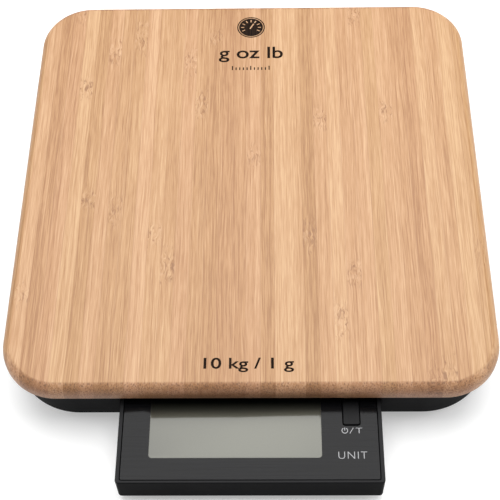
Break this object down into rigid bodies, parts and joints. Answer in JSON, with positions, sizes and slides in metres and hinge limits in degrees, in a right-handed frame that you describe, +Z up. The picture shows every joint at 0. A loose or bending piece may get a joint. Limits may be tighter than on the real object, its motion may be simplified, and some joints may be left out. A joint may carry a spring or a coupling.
{
  "type": "kitchen scale",
  "caption": "Flat electronic kitchen scale: bevelled laminated bamboo platform on a slim black base, with a pull-out display drawer that has a grey LCD window and a raised key.",
  "frame": {"origin": "On the surface that the scale stands on, under the middle of the whole object with its display drawer pulled out.", "axes": "+Z up, -Y is the front where the display drawer comes out, +X is the right-hand side, where the keys are, for a person at the front."},
  "size_m": [0.225, 0.2694, 0.0333],
  "materials": {
    "bamboo": "satin varnish, laminated strips",
    "base_black": "satin black",
    "deck_black": "matte black",
    "drawer_black": "satin black",
    "film_black": "gloss black film",
    "key_black": "satin black",
    "clear_plastic": "clear, polished",
    "lcd": "grey-green reflective display",
    "white_plastic": "matte white",
    "rubber": "matte black",
    "zebra": "matte",
    "aluminium": "machined",
    "steel": "zinc plated",
    "screw_steel": "zinc plated",
    "circuit": "green solder mask",
    "epoxy": "black epoxy",
    "silicone": "white potting",
    "battery": "plain dark jacket",
    "cable": "light grey insulation"
  },
  "bodies": {
    "base": {"base_shell": "base_black", "base_deck": "deck_black", "foot_front_left": "rubber", "foot_front_right": "rubber", "foot_rear_left": "rubber", "foot_rear_right": "rubber", "drawer_rail_left": "deck_black", "drawer_rail_right": "deck_black", "load_cell": "aluminium", "strain_gauge_cover": "silicone", "battery_box": "deck_black", "battery_1": "battery", "battery_2": "battery", "contact_bridge": "steel", "contact_plus": "steel", "contact_minus": "steel", "terminal_board": "circuit", "sensor_wires": "cable", "battery_wires": "cable", "ribbon_cable": "cable", "base_screw_1": "screw_steel", "base_screw_2": "screw_steel", "base_screw_3": "screw_steel", "base_screw_4": "screw_steel", "load_cell_screw_1": "screw_steel", "load_cell_screw_2": "screw_steel"},
    "platform": {"bamboo_platform": "bamboo", "platform_bracket": "steel", "load_cell_spacer": "steel", "bracket_screw_1": "screw_steel", "bracket_screw_2": "screw_steel", "bracket_screw_3": "screw_steel", "bracket_screw_4": "screw_steel", "spacer_screw_1": "screw_steel", "spacer_screw_2": "screw_steel"},
    "drawer": {"display_tray": "drawer_black", "display_cover": "drawer_black", "overlay_film": "film_black", "window_lens": "clear_plastic", "lcd_glass": "lcd", "lcd_holder": "white_plastic", "zebra_strip_front": "zebra", "zebra_strip_rear": "zebra", "display_pcb": "circuit", "chip_cover": "epoxy", "tare_switch": "epoxy", "unit_switch": "epoxy", "display_screw_1": "screw_steel", "display_screw_2": "screw_steel", "display_screw_3": "screw_steel", "display_screw_4": "screw_steel"},
    "tare_key": {"tare_key": "key_black"},
    "unit_key": {"unit_key": "key_black"},
    "battery_door": {"battery_door": "base_black"}
  },
  "joints": [
    {"name": "platform_load", "type": "slide", "parent": "base", "child": "platform", "axis": [0, 0, -1], "range_m": [0, 0.0007], "stiffness_N_per_m": 150000, "springref_m": -0.00003, "deforming": ["load_cell"]},
    {"name": "display_slide", "type": "slide", "parent": "base", "child": "drawer", "axis": [0, -1, 0], "range_m": [-0.0396, 0], "deforming": ["ribbon_cable"]},
    {"name": "tare_key_press", "type": "slide", "parent": "drawer", "child": "tare_key", "axis": [0, 0, -1], "range_m": [0, 0.0005], "stiffness_N_per_m": 3000, "springref_m": -0.0001},
    {"name": "unit_key_press", "type": "slide", "parent": "drawer", "child": "unit_key", "axis": [0, 0, -1], "range_m": [0, 0.00035], "stiffness_N_per_m": 3000, "springref_m": -0.0001},
    {"name": "battery_door_swing", "type": "hinge", "parent": "base", "child": "battery_door", "pos_m": [0, 0.0687, 0.002], "axis": [1, 0, 0], "range_deg": [-75, 0]}
  ]
}
